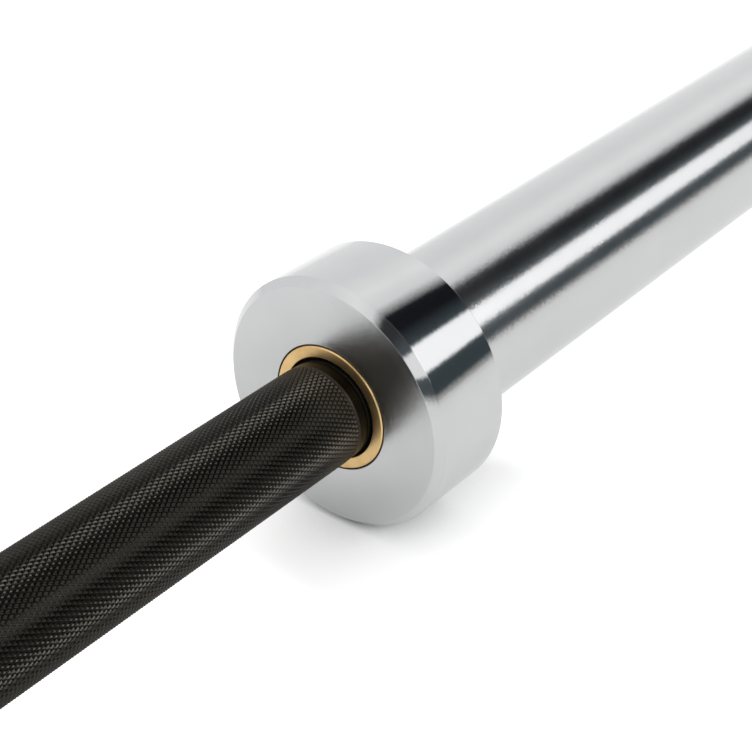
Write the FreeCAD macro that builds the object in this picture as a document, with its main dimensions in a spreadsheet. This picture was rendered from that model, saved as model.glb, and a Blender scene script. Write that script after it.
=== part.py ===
import FreeCAD, Part
import os
import Sketcher
from types import SimpleNamespace

# An olympic barbell: a one-piece steel shaft with a sleeve that turns freely on each end.
# The bar lies along X with its middle at the origin, and +Z is up. Lengths are in millimetres.
# The pieces of one end are drawn in that end's own frame: the inboard face of its collar is at
# zero, and distances along the bar grow outboard.

DIMENSIONS = {
    # Whole bar
    "overall_length": 2200,
    "grip_span": 1310,              # from collar face to collar face
    "end_float": 0.25,              # play of a sleeve along the shaft, at each of its two thrust faces
    # Shaft
    "grip_diameter": 28.5,          # bright bar before the knurl is rolled
    "shoulder_height": 1.75,        # step from the grip down to the journal
    "shoulder_setback": 0.85,       # grip's shoulder, inboard of the collar's face
    "shoulder_chamfer": 0.4,
    "ring_mark_span": 910,          # between the two grip marks
    "ring_mark_width": 4,
    "ring_mark_depth": 0.3,
    "shaft_end_gap": 3,             # shaft's end to the end cap
    "shaft_end_chamfer": 1,
    # Collar
    "collar_diameter": 75,
    "collar_width": 28,
    "collar_web": 10,               # front wall, which covers the end of the sleeve tube
    "collar_front_chamfer": 2.25,
    "collar_back_chamfer": 0.6,
    "collar_mouth_clearance": 0.5,  # seam left round the tube where it leaves the collar
    # Sleeve tube
    "sleeve_diameter": 50,
    "spigot_step": 1,               # tube's outside down to the spigot inside the collar
    "bush_seat_step": 3.35,         # step that each bushing is pressed against
    "sleeve_end_chamfer_share": 0.4,
    # Bronze bushings
    "bush_length": 50,
    "bush_lip": 3.5,                # wall round the mouth of the inner bushing
    "bush_stand": 0.3,              # inner bushing's face, proud of the collar's face
    "bush_edge_chamfer": 0.3,
    "bush_running_clearance": 0.05,
    "bush_mouth_clearance": 0.55,   # grip to the recess that takes the inner thrust washer
    "bush_mouth_chamfer": 0.4,
    # Washers
    "washer_bore_clearance": 0.3,
    "inner_washer_rim_clearance": 0.8,
    "inner_washer_thickness": 2.1,
    "outer_washer_rim_clearance": 1.1,
    "outer_washer_thickness": 2,
    "spring_washer_rim_clearance": 2.1,
    "spring_washer_gauge": 1,
    "spring_washer_cone": 0.6,      # how far its rim stands off its inner edge
    # Snap ring on the shaft
    "shaft_ring_gauge": 1.2,
    "shaft_ring_band": 3,
    "shaft_ring_gap": 4,
    "shaft_ring_lug_diameter": 4,
    "shaft_ring_hole_diameter": 2,
    "shaft_groove_depth": 0.55,
    "shaft_groove_land": 3.5,       # groove to the shaft's end
    # End cap, its seat and its snap ring
    "cap_seat_share": 0.22,         # cap's ledge, of the tube's wall round the bushings
    "cap_groove_share": 0.25,       # ring's groove, of the tube's wall round the cap
    "cap_clearance": 0.05,
    "cap_thickness": 6,
    "cap_edge_chamfer": 0.4,
    "cap_rim_width": 6,
    "cap_dish_depth": 1,
    "cap_ring_recess": 3.15,        # ring's groove to the sleeve's end
    "cap_ring_gauge": 1.75,
    "cap_ring_band": 3.4,
    "cap_ring_gap": 9,
    "cap_ring_lug_diameter": 5,
    "cap_ring_hole_diameter": 2.5,
    # Shared by both snap rings
    "ring_groove_play": 0.1,        # groove's width over the ring's gauge
    "cut_overrun": 1,
}

document = FreeCAD.newDocument("olympic_barbell")
sheet = document.addObject("Spreadsheet::Sheet", "dims")
for row, (alias, number) in enumerate(DIMENSIONS.items(), start=1):
    sheet.set(f"A{row}", alias)
    sheet.set(f"B{row}", str(number))
    sheet.setAlias(f"B{row}", alias)
document.recompute()


class Size:
    """A length kept as the formula that ties it to the driving dimensions."""

    def __init__(self, formula):
        self.formula = formula

    def __add__(self, other):
        return Size(f"({self.formula} + {other.formula})")

    def __sub__(self, other):
        return Size(f"({self.formula} - {other.formula})")

    def __neg__(self):
        return Size(f"(-{self.formula})")

    def __mul__(self, share):
        return Size(f"({self.formula} * {share.formula})")

    def __truediv__(self, divisor):
        return Size(f"({self.formula} / {divisor})")

    def value(self):
        return float(sheet.evalExpression(self.formula))


ZERO = Size("0")
dims = SimpleNamespace(**{alias: Size(f"dims.{alias}") for alias in DIMENSIONS})

# Radii, from the shaft outwards
grip_radius = dims.grip_diameter / 2
journal_radius = grip_radius - dims.shoulder_height
shaft_groove_radius = journal_radius - dims.shaft_groove_depth
washer_bore_radius = journal_radius + dims.washer_bore_clearance
bush_bore_radius = journal_radius + dims.bush_running_clearance
bush_mouth_radius = grip_radius + dims.bush_mouth_clearance
bush_radius = bush_mouth_radius + dims.bush_lip
inner_washer_radius = bush_mouth_radius - dims.inner_washer_rim_clearance
outer_washer_radius = bush_radius - dims.outer_washer_rim_clearance
spring_washer_radius = bush_radius - dims.spring_washer_rim_clearance
sleeve_radius = dims.sleeve_diameter / 2
sleeve_bore_radius = bush_radius - dims.bush_seat_step
spigot_radius = sleeve_radius - dims.spigot_step
cap_seat_radius = bush_radius + (sleeve_radius - bush_radius) * dims.cap_seat_share
cap_groove_radius = cap_seat_radius + (sleeve_radius - cap_seat_radius) * dims.cap_groove_share
cap_radius = cap_seat_radius - dims.cap_clearance
collar_radius = dims.collar_diameter / 2

# Places along the bar, from the inboard face of the collar
half_grip = dims.grip_span / 2
shoulder = -dims.shoulder_setback
mouth_floor = shoulder + dims.end_float + dims.inner_washer_thickness
inner_bush_end = dims.bush_length - dims.bush_stand
sleeve_end = (dims.overall_length - dims.grip_span) / 2
cap_groove_end = sleeve_end - dims.cap_ring_recess
cap_face = cap_groove_end - dims.cap_ring_gauge - dims.ring_groove_play
cap_seat_floor = cap_face - dims.cap_thickness
shaft_end = cap_seat_floor - dims.shaft_end_gap
shaft_groove_end = shaft_end - dims.shaft_groove_land
shaft_ring_start = shaft_groove_end - dims.shaft_ring_gauge
shaft_groove_start = shaft_ring_start - dims.ring_groove_play
spring_washer_start = shaft_ring_start - dims.spring_washer_gauge - dims.spring_washer_cone
outer_washer_start = spring_washer_start - dims.outer_washer_thickness
outer_bush_end = outer_washer_start - dims.end_float
outer_bush_start = outer_bush_end - dims.bush_length

BAR_AXIS = FreeCAD.Vector(1, 0, 0)
UP = FreeCAD.Vector(0, 0, 1)
SIDES = {"left": -half_grip, "right": half_grip}
HALF_TURN = 180
FULL_TURN = 360

pieces = []


def origin_plane(body, role):
    """One of the three planes that a body starts from."""
    return next(plane for plane in body.Origin.OriginFeatures if plane.Role == role)


def hold(sketch, direction, vertex, distance, zero_axis):
    """Tie one coordinate of an outline's vertex to its size, or to the axis where it is zero.

    A sketch numbers its own axes -1 (along the bar) and -2 (across it), its origin is point 1 of
    the first, and a line's start and end are its points 1 and 2.
    """
    if distance is ZERO:
        sketch.addConstraint(Sketcher.Constraint("PointOnObject", vertex, 1, zero_axis))
        return
    index = sketch.addConstraint(Sketcher.Constraint(direction, -1, 1, vertex, 1, distance.value()))
    name = f"{direction}_{vertex}"
    sketch.renameConstraint(index, name)
    sketch.setExpression(f"Constraints.{name}", distance.formula)


def turned_piece(label, outline):
    """A body turned about the bar's axis from a closed outline of (distance along, radius)."""
    body = document.addObject("PartDesign::Body", label)
    sketch = body.newObject("Sketcher::SketchObject", f"{label}_outline")
    sketch.AttachmentSupport = [(origin_plane(body, "XY_Plane"), "")]
    sketch.MapMode = "FlatFace"
    points = [FreeCAD.Vector(along.value(), radius.value(), 0) for along, radius in outline]
    ends = points[1:] + points[:1]
    lines = [Part.LineSegment(start, end) for start, end in zip(points, ends)]
    sketch.addGeometry(lines, False)
    for vertex, (along, radius) in enumerate(outline):
        before = (vertex - 1) % len(outline)
        sketch.addConstraint(Sketcher.Constraint("Coincident", before, 2, vertex, 1))
        hold(sketch, "DistanceX", vertex, along, -2)
        hold(sketch, "DistanceY", vertex, radius, -1)
    turning = body.newObject("PartDesign::Revolution", f"{label}_turning")
    turning.Profile = sketch
    turning.ReferenceAxis = (sketch, ["H_Axis"])
    turning.Angle = FULL_TURN
    pieces.append(body)
    return body


def seat_on_end(piece, side):
    """Put a piece drawn in an end's own frame on the left or right end of the bar."""
    turn = HALF_TURN if side == "left" else 0
    piece.Placement = FreeCAD.Placement(FreeCAD.Vector(), FreeCAD.Rotation(UP, turn))
    piece.setExpression("Placement.Base.x", SIDES[side].formula)


def disc(name, diameter, start, thickness, across=ZERO, height=ZERO):
    """A round blank square to the bar's axis, off the axis by the given distances."""
    blank = document.addObject("Part::Cylinder", name)
    blank.Placement = FreeCAD.Placement(FreeCAD.Vector(), FreeCAD.Rotation(UP, BAR_AXIS))
    blank.setExpression("Radius", (diameter / 2).formula)
    blank.setExpression("Height", thickness.formula)
    blank.setExpression("Placement.Base.x", start.formula)
    blank.setExpression("Placement.Base.y", across.formula)
    blank.setExpression("Placement.Base.z", height.formula)
    return blank


def cut(name, base, tool):
    """What is left of a base once a tool is taken from it."""
    result = document.addObject("Part::Cut", name)
    result.Base = base
    result.Tool = tool
    return result


def fuse(name, shapes):
    """Several overlapping shapes as one."""
    result = document.addObject("Part::MultiFuse", name)
    result.Shapes = shapes
    return result


def snap_ring(label, side, start, gauge, inner, outer, gap, lug_row, lug, hole):
    """A flat open ring with a lug and a plier hole beside its gap, which is at the top.

    The lugs are centred at the height lug_row, on or beyond the edge that faces away from the groove.
    """
    cut_start = start - dims.cut_overrun
    cut_length = gauge + dims.cut_overrun + dims.cut_overrun
    band = cut(
        f"{label}_band",
        disc(f"{label}_blank", outer + outer, start, gauge),
        disc(f"{label}_bore", inner + inner, cut_start, cut_length),
    )
    opening = document.addObject("Part::Box", f"{label}_gap")
    opening.setExpression("Length", cut_length.formula)
    opening.setExpression("Width", gap.formula)
    opening.setExpression("Height", (outer + dims.cut_overrun).formula)
    opening.setExpression("Placement.Base.x", cut_start.formula)
    opening.setExpression("Placement.Base.y", (-(gap / 2)).formula)
    open_band = cut(f"{label}_open_band", band, opening)
    lug_offset = gap / 2 + lug / 2
    lugs = []
    holes = []
    for hand, offset in (("near", -lug_offset), ("far", lug_offset)):
        lugs.append(disc(f"{label}_{hand}_lug", lug, start, gauge, offset, lug_row))
        holes.append(disc(f"{label}_{hand}_hole", hole, cut_start, cut_length, offset, lug_row))
    lugged = fuse(f"{label}_lugged", [open_band] + lugs)
    ring = cut(label, lugged, fuse(f"{label}_holes", holes))
    seat_on_end(ring, side)
    pieces.append(ring)


def make_shaft():
    """One steel bar: knurled grip with a mark for each hand, and a slimmer journal at each end."""
    mark_middle = dims.ring_mark_span / 2
    mark_start = mark_middle - dims.ring_mark_width / 2
    mark_end = mark_middle + dims.ring_mark_width / 2
    mark_radius = grip_radius - dims.ring_mark_depth
    shoulder_face = half_grip + shoulder
    end_face = half_grip + shaft_end
    shaft = turned_piece("shaft", [
        (ZERO, ZERO),
        (ZERO, grip_radius),
        (mark_start, grip_radius),
        (mark_start, mark_radius),
        (mark_end, mark_radius),
        (mark_end, grip_radius),
        (shoulder_face - dims.shoulder_chamfer, grip_radius),
        (shoulder_face, grip_radius - dims.shoulder_chamfer),
        (shoulder_face, journal_radius),
        (half_grip + shaft_groove_start, journal_radius),
        (half_grip + shaft_groove_start, shaft_groove_radius),
        (half_grip + shaft_groove_end, shaft_groove_radius),
        (half_grip + shaft_groove_end, journal_radius),
        (end_face - dims.shaft_end_chamfer, journal_radius),
        (end_face, journal_radius - dims.shaft_end_chamfer),
        (end_face, ZERO),
    ])
    document.recompute()
    other_half = shaft.newObject("PartDesign::Mirrored", "shaft_other_half")
    other_half.Originals = [shaft.Tip]
    other_half.MirrorPlane = (origin_plane(shaft, "YZ_Plane"), [""])
    shaft.Tip = other_half


def make_collar(side):
    """The ring that plates are pushed against, bored for the bushing and socketed for the tube."""
    back = dims.collar_width
    mouth_chamfer = dims.collar_mouth_clearance + dims.spigot_step
    collar = turned_piece(f"{side}_collar", [
        (ZERO, bush_radius + dims.bush_edge_chamfer),
        (ZERO, collar_radius - dims.collar_front_chamfer),
        (dims.collar_front_chamfer, collar_radius),
        (back - dims.collar_back_chamfer, collar_radius),
        (back, collar_radius - dims.collar_back_chamfer),
        (back, spigot_radius + mouth_chamfer),
        (back - mouth_chamfer, spigot_radius),
        (dims.collar_web, spigot_radius),
        (dims.collar_web, bush_radius),
        (dims.bush_edge_chamfer, bush_radius),
    ])
    seat_on_end(collar, side)


def make_sleeve(side):
    """The tube that carries the plates, stepped inside for two bushings and the end cap."""
    end_mouth_radius = cap_seat_radius + dims.cap_edge_chamfer
    end_chamfer = (sleeve_radius - cap_seat_radius) * dims.sleeve_end_chamfer_share
    sleeve = turned_piece(f"{side}_sleeve", [
        (dims.collar_web, bush_radius),
        (dims.collar_web, spigot_radius),
        (dims.collar_width, spigot_radius),
        (dims.collar_width, sleeve_radius),
        (sleeve_end - end_chamfer, sleeve_radius),
        (sleeve_end, sleeve_radius - end_chamfer),
        (sleeve_end, end_mouth_radius),
        (sleeve_end - dims.cap_edge_chamfer, cap_seat_radius),
        (cap_groove_end, cap_seat_radius),
        (cap_groove_end, cap_groove_radius),
        (cap_face, cap_groove_radius),
        (cap_face, cap_seat_radius),
        (cap_seat_floor, cap_seat_radius),
        (cap_seat_floor, bush_radius),
        (outer_bush_start, bush_radius),
        (outer_bush_start, sleeve_bore_radius),
        (inner_bush_end, sleeve_bore_radius),
        (inner_bush_end, bush_radius),
    ])
    seat_on_end(sleeve, side)


def make_inner_bushing(side):
    """The bronze bushing that shows round the shaft, recessed at its mouth for a thrust washer."""
    face = -dims.bush_stand
    bushing = turned_piece(f"{side}_inner_bushing", [
        (face, bush_mouth_radius + dims.bush_mouth_chamfer),
        (face, bush_radius - dims.bush_edge_chamfer),
        (face + dims.bush_edge_chamfer, bush_radius),
        (inner_bush_end - dims.bush_edge_chamfer, bush_radius),
        (inner_bush_end, bush_radius - dims.bush_edge_chamfer),
        (inner_bush_end, bush_bore_radius),
        (mouth_floor, bush_bore_radius),
        (mouth_floor, bush_mouth_radius),
        (face + dims.bush_mouth_chamfer, bush_mouth_radius),
    ])
    seat_on_end(bushing, side)


def make_outer_bushing(side):
    """The second bronze bushing, near the end of the sleeve."""
    bushing = turned_piece(f"{side}_outer_bushing", [
        (outer_bush_start, bush_bore_radius),
        (outer_bush_start, bush_radius - dims.bush_edge_chamfer),
        (outer_bush_start + dims.bush_edge_chamfer, bush_radius),
        (outer_bush_end - dims.bush_edge_chamfer, bush_radius),
        (outer_bush_end, bush_radius - dims.bush_edge_chamfer),
        (outer_bush_end, bush_bore_radius),
    ])
    seat_on_end(bushing, side)


def make_flat_washer(label, side, start, thickness, rim_radius):
    """A flat thrust washer."""
    washer = turned_piece(label, [
        (start, washer_bore_radius),
        (start, rim_radius),
        (start + thickness, rim_radius),
        (start + thickness, washer_bore_radius),
    ])
    seat_on_end(washer, side)


def make_spring_washer(side):
    """A coned spring washer that takes up the play between thrust washer and snap ring."""
    rim_start = spring_washer_start
    rim_end = rim_start + dims.spring_washer_gauge
    washer = turned_piece(f"{side}_spring_washer", [
        (rim_start + dims.spring_washer_cone, washer_bore_radius),
        (rim_start, spring_washer_radius),
        (rim_end, spring_washer_radius),
        (rim_end + dims.spring_washer_cone, washer_bore_radius),
    ])
    seat_on_end(washer, side)


def make_shaft_ring(side):
    """The snap ring in the shaft's groove, which keeps the sleeve on."""
    outer = shaft_groove_radius + dims.shaft_ring_band
    snap_ring(
        f"{side}_shaft_snap_ring", side, shaft_ring_start, dims.shaft_ring_gauge,
        shaft_groove_radius, outer, dims.shaft_ring_gap, outer,
        dims.shaft_ring_lug_diameter, dims.shaft_ring_hole_diameter,
    )


def make_end_cap(side):
    """The plain dished cap that closes the sleeve's end."""
    dish_radius = cap_radius - dims.cap_rim_width
    dish_floor = cap_face - dims.cap_dish_depth
    cap = turned_piece(f"{side}_end_cap", [
        (cap_seat_floor, ZERO),
        (cap_seat_floor, cap_radius),
        (cap_face - dims.cap_edge_chamfer, cap_radius),
        (cap_face, cap_radius - dims.cap_edge_chamfer),
        (cap_face, dish_radius),
        (dish_floor, dish_radius - dims.cap_dish_depth),
        (dish_floor, ZERO),
    ])
    seat_on_end(cap, side)


def make_cap_ring(side):
    """The snap ring in the sleeve's groove, which holds the end cap on its seat."""
    inner = cap_groove_radius - dims.cap_ring_band
    snap_ring(
        f"{side}_end_cap_snap_ring", side, cap_face, dims.cap_ring_gauge,
        inner, cap_groove_radius, dims.cap_ring_gap, inner - dims.cap_ring_lug_diameter / 2,
        dims.cap_ring_lug_diameter, dims.cap_ring_hole_diameter,
    )


def check_model():
    """Stop before anything is written if a feature failed or a piece isn't one sound solid."""
    failed = [item.Name for item in document.Objects if {"Invalid", "Error"} & set(item.State)]
    if failed:
        raise RuntimeError(f"features failed: {failed}")
    for piece in pieces:
        shape = piece.Shape
        if shape.isNull() or not shape.isValid() or len(shape.Solids) != 1:
            raise RuntimeError(f"{piece.Label} is not one sound solid")


make_shaft()
for side in SIDES:
    make_collar(side)
    make_sleeve(side)
    make_inner_bushing(side)
    make_outer_bushing(side)
    make_flat_washer(
        f"{side}_inner_thrust_washer", side, shoulder + dims.end_float,
        dims.inner_washer_thickness, inner_washer_radius,
    )
    make_flat_washer(
        f"{side}_outer_thrust_washer", side, outer_washer_start,
        dims.outer_washer_thickness, outer_washer_radius,
    )
    make_spring_washer(side)
    make_shaft_ring(side)
    make_end_cap(side)
    make_cap_ring(side)

document.recompute()
check_model()

os.makedirs("parts", exist_ok=True)
for piece in pieces:
    piece.Shape.exportStep(f"parts/{piece.Label}.step")
    print(f"{piece.Label}: {piece.Shape.Volume:.1f} mm3")
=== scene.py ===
# %% [markdown]
# # An olympic barbell
#
# The bar is one long steel shaft with a sleeve that spins on each end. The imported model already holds
# every piece at its real size and place, so this lesson only dresses it: lathe work with softened edges,
# a rolled knurl, metal finishes and a small studio.
#
# Everything is in metres. The bar lies along X with its middle at the origin, and Z is up.

import math
from types import SimpleNamespace

import bmesh
import bpy
import numpy as np
from mathutils import Matrix, Vector


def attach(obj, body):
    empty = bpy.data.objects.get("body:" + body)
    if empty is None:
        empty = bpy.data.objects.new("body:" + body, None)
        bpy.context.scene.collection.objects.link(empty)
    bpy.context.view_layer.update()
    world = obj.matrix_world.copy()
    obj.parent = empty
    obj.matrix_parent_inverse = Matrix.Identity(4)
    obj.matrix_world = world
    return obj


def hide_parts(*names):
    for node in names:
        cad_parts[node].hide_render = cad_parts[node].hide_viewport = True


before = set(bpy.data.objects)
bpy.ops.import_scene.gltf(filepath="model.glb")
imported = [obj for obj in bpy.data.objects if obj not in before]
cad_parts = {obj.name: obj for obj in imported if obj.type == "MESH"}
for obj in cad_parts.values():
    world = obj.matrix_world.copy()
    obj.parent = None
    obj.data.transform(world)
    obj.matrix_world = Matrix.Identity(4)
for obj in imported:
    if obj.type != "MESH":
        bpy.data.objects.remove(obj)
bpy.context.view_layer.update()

# %% [markdown]
# ## Sizes come from the frame
#
# A turned piece is known by a few numbers: where it starts and ends along the bar, its bore and rim, and
# the bore and rim of its two end faces, which give away its chamfers. They could be typed in again, but
# then a changed CAD model would leave this file behind. So each node's own mesh is measured instead. Both
# ends of the bar are alike, and the right one is measured for both.

# %% Measure the turned pieces
TOUCH = 1e-6
MILLIMETRES = 1000
HANDS = {"left": -1, "right": 1}


def measure(node):
    """Where a turned piece lies along the bar, its radii, and the radii of its two end faces."""
    points = np.array([vertex.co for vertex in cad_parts[node].data.vertices])
    along = points[:, 0]
    radius = np.hypot(points[:, 1], points[:, 2])
    start_face = radius[along < along.min() + TOUCH]
    end_face = radius[along > along.max() - TOUCH]
    return SimpleNamespace(
        start=along.min(), end=along.max(), bore=radius.min(), rim=radius.max(),
        start_bore=start_face.min(), start_rim=start_face.max(),
        end_bore=end_face.min(), end_rim=end_face.max(),
        along=along, radius=radius,
    )


shaft = measure("shaft")
collar = measure("right_collar")
sleeve = measure("right_sleeve")
inner_bushing = measure("right_inner_bushing")
outer_bushing = measure("right_outer_bushing")
thrust_washer = measure("right_inner_thrust_washer")
shaft_ring = measure("right_shaft_snap_ring")
end_cap = measure("right_end_cap")
cap_ring = measure("right_end_cap_snap_ring")
for label, piece in {"collar": collar, "sleeve": sleeve, "grip": shaft}.items():
    print(f"{label}: {2 * piece.rim * MILLIMETRES:.1f} mm across")

# %% [markdown]
# ## Node trees that read like sums
#
# A finish is a little formula: so much roughness here, a darker tone there. Dropping nodes by hand hides
# that formula in wires. A small class around a socket gives Python's operators to it, so that `1 - mask`
# adds the Math node for us.

# %% A socket that can be added and multiplied
def pick(sockets, key):
    """A socket by its number, its identifier or its name."""
    for number, socket in enumerate(sockets):
        if key in (number, socket.identifier, socket.name):
            return socket
    raise KeyError(key)


class Wire:
    """An output socket. Arithmetic on it adds Math nodes to its tree."""

    def __init__(self, nodes, socket):
        self.nodes = nodes
        self.socket = socket

    def output(self, key):
        """Another output of the same node."""
        return Wire(self.nodes, pick(self.socket.node.outputs, key))

    def __add__(self, other):
        return self.nodes.math("ADD", self, other)

    def __sub__(self, other):
        return self.nodes.math("SUBTRACT", self, other)

    def __rsub__(self, other):
        return self.nodes.math("SUBTRACT", other, self)

    def __mul__(self, other):
        return self.nodes.math("MULTIPLY", self, other)

    def __truediv__(self, other):
        return self.nodes.math("DIVIDE", self, other)

    def __rtruediv__(self, other):
        return self.nodes.math("DIVIDE", other, self)

    __radd__ = __add__
    __rmul__ = __mul__


print("sockets take + - * and /")

# %% [markdown]
# Every other kind of node comes from one method, `add`: its settings first, then what goes into its
# sockets. The few nodes that turn up everywhere get a short name on top of it. Materials, the world and
# Geometry Nodes all use the same two classes.

# %% A node tree that is built by short calls
class Nodes:
    """A node tree, emptied and ready to be built."""

    def __init__(self, tree):
        self.tree = tree
        tree.nodes.clear()

    def add(self, kind, settings=None, inputs=None, output=0):
        """Add a node: its settings first, then the values or links of its sockets. Returns an output."""
        made = self.tree.nodes.new(kind)
        for name, setting in (settings or {}).items():
            setattr(made, name, setting)
        for key, value in (inputs or {}).items():
            socket = pick(made.inputs, key)
            if isinstance(value, Wire):
                self.tree.links.new(value.socket, socket)
            else:
                socket.default_value = value
        return Wire(self, pick(made.outputs, output)) if len(made.outputs) else made

    def math(self, operation, *values):
        """A Math node."""
        return self.add("ShaderNodeMath", {"operation": operation}, dict(enumerate(values)))

    def vector(self, operation, *values, **inputs):
        """A Vector Math node."""
        sockets = {**dict(enumerate(values)), **inputs}
        return self.add("ShaderNodeVectorMath", {"operation": operation}, sockets)

    def smooth(self, value, low, high, to_low=0, to_high=1):
        """A smooth step from one level to another as a value goes from low to high."""
        return self.add(
            "ShaderNodeMapRange", {"interpolation_type": "SMOOTHSTEP"},
            {"Value": value, "From Min": low, "From Max": high, "To Min": to_low, "To Max": to_high},
        )

    def mix(self, factor, first, second):
        """A blend of two colours."""
        return self.add(
            "ShaderNodeMix", {"data_type": "RGBA"},
            {"Factor_Float": factor, "A_Color": first, "B_Color": second}, output="Result_Color",
        )

    def ramp(self, value, stops):
        """Colours laid out along a value: a list of (value, colour), the lowest value first."""
        lowest = stops[0][0]
        reach = stops[-1][0] - lowest
        ramp = self.add("ShaderNodeValToRGB", inputs={"Fac": (value - lowest) / reach})
        elements = ramp.socket.node.color_ramp.elements
        for _ in stops[2:]:
            elements.new(1)
        for element, (stop, colour) in zip(elements, stops):
            element.position = (stop - lowest) / reach
            element.color = (*colour, 1)
        return ramp


print("node trees ready")

# %% [markdown]
# ## What every finish shares
#
# All these metals were cut, ground or polished while they spun about the bar's axis, so their patterns
# follow that axis too: a point is described by its place along the bar and its distance from the axis.
# Both come from Object coordinates, which stay with a sleeve while it spins.
#
# Turning marks could be a bump texture. But they are finer than a pixel, and a bump is measured across a
# pixel, so it fades as the camera backs off. Tilting the normal itself works at every distance: each
# hair-fine groove leans the surface a little towards or away from the axis, never around it. That gives a
# turned face its fan of reflections and keeps the stripes on a turned rim crisp. A ripple that leans the
# other way, around the axis, is what polishing leaves.

# %% Lathe coordinates and turning marks
OBLIQUE_SHARE = 0.618
GROOVE_DETAIL = 3
RIPPLE_SCALE = 1500
NOISE_MIDDLE = 0.5


def lathe_place(nodes):
    """A point's coordinates and its distance from the bar's axis."""
    spot = nodes.add("ShaderNodeTexCoord", output="Object")
    x = nodes.add("ShaderNodeSeparateXYZ", inputs={0: spot})
    y = x.output("Y")
    z = x.output("Z")
    return SimpleNamespace(spot=spot, x=x, y=y, z=z, radius=nodes.math("SQRT", y * y + z * z))


def patches(nodes, at, scale, detail=2, roughness=0.5):
    """Soft patches, of about 0 to 1 and about one in each 1/scale metres."""
    return nodes.add(
        "ShaderNodeTexNoise", {"noise_dimensions": "3D"},
        {"Vector": at.spot, "Scale": scale, "Detail": detail, "Roughness": roughness},
    )


def tool_lines(nodes, at, lines, detail):
    """Noise that changes only as the cutting tool moves on: so many lines to the metre.

    A step across a face counts as a share of a step along a rim, so one number serves both.
    """
    feed = at.x + at.radius * OBLIQUE_SHARE
    return nodes.add(
        "ShaderNodeTexNoise", {"noise_dimensions": "1D"},
        {"W": feed * lines, "Scale": 1, "Detail": detail},
    )


def turning_marks(nodes, at, lines, lean, ripple=0):
    """The normal of a surface cut on a lathe: so many grooves to the metre, and so much lean and ripple."""
    groove = tool_lines(nodes, at, lines, GROOVE_DETAIL) - NOISE_MIDDLE
    flat = nodes.add("ShaderNodeTexCoord", output="Normal")
    circle = nodes.add("ShaderNodeCombineXYZ", inputs={"X": 0, "Y": 0 - at.z, "Z": at.y})
    around = nodes.vector("NORMALIZE", circle)
    across = nodes.vector("CROSS_PRODUCT", flat, around)
    tilted = nodes.vector("ADD", flat, nodes.vector("SCALE", across, Scale=groove * lean))
    if ripple:
        swell = patches(nodes, at, RIPPLE_SCALE) - NOISE_MIDDLE
        tilted = nodes.vector("ADD", tilted, nodes.vector("SCALE", around, Scale=swell * ripple))
    return nodes.add(
        "ShaderNodeVectorTransform",
        {"vector_type": "NORMAL", "convert_from": "OBJECT", "convert_to": "WORLD"},
        {"Vector": nodes.vector("NORMALIZE", tilted)},
    )


def finish(name):
    """A new material and the builder of its nodes."""
    material = bpy.data.materials.new(name)
    material.use_nodes = True
    return material, Nodes(material.node_tree)


def shade(nodes, inputs):
    """Close a finish with its surface shader."""
    surface = nodes.add("ShaderNodeBsdfPrincipled", inputs=inputs)
    nodes.add("ShaderNodeOutputMaterial", inputs={"Surface": surface})


print("finish helpers ready")

# %% [markdown]
# ## Bright chrome
#
# The sleeve is ground, polished and hard chromed. Chromium returns about six tenths of the light,
# slightly blue. A plain mirror would be too clean: polishing leaves a faint ripple that frays the edges
# of its stripes, and handling leaves a haze. So the roughness and the tone follow soft patches.
#
# The values of each finish stand together in front of it. A `scale` is about how many patches there are
# to the metre, and `lines` how many grooves. `rough` is the roughness to start from, and what is added to
# it is named for its cause, such as `hazed`. `lean` and `ripple` say how far the normal tilts.

# %% Make the bright chrome
CHROME = (0.585, 0.59, 0.595, 1)
CHROME_HAZE = (0.54, 0.545, 0.555, 1)
FINE_LINES = 26000
HAZE_DETAIL = 4
POLISHED = SimpleNamespace(haze_scale=60, rough=0.13, hazed=0.06, lean=0.12, ripple=0.08)


def bright_chrome():
    material, nodes = finish("bright_chrome")
    at = lathe_place(nodes)
    haze = patches(nodes, at, POLISHED.haze_scale, HAZE_DETAIL)
    shade(nodes, {
        "Base Color": nodes.mix(haze, CHROME, CHROME_HAZE),
        "Metallic": 1,
        "Roughness": POLISHED.rough + POLISHED.hazed * haze,
        "Normal": turning_marks(nodes, at, FINE_LINES, POLISHED.lean, POLISHED.ripple),
    })
    return material


CHROME_FINISH = bright_chrome()
print("made", CHROME_FINISH.name)

# %% [markdown]
# ## Turned chrome
#
# The collar wears the same chrome over visible turning marks. On its rim they lean little and the stripes
# of the room stay sharp. On its face, which was cut from the rim inwards, they lean far more, and a
# stripe becomes a fan. One finish does both, by how squarely a surface faces along the bar. The seam
# round the bushing is painted dark and made rough, as painted shade. The end caps are finished like the
# collars, without the painted shade.

# %% Make the turned chrome
# Painted shade, for the seam round the bushing and inside the bushing's mouth and bore.
PAINTED_SHADE = (0.012, 0.009, 0.006, 1)
SEAM_WIDTH = 0.0003
FACED_FROM, FACED_TO = 0.8, 0.98
TURNED = SimpleNamespace(
    haze_scale=90, ring_lines=900, rough=0.05, hazed=0.03, ringed=0.03, faced=0.17, shaded=0.3,
    lean=0.1, faced_lean=0.6, ripple=0.025,
)


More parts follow.
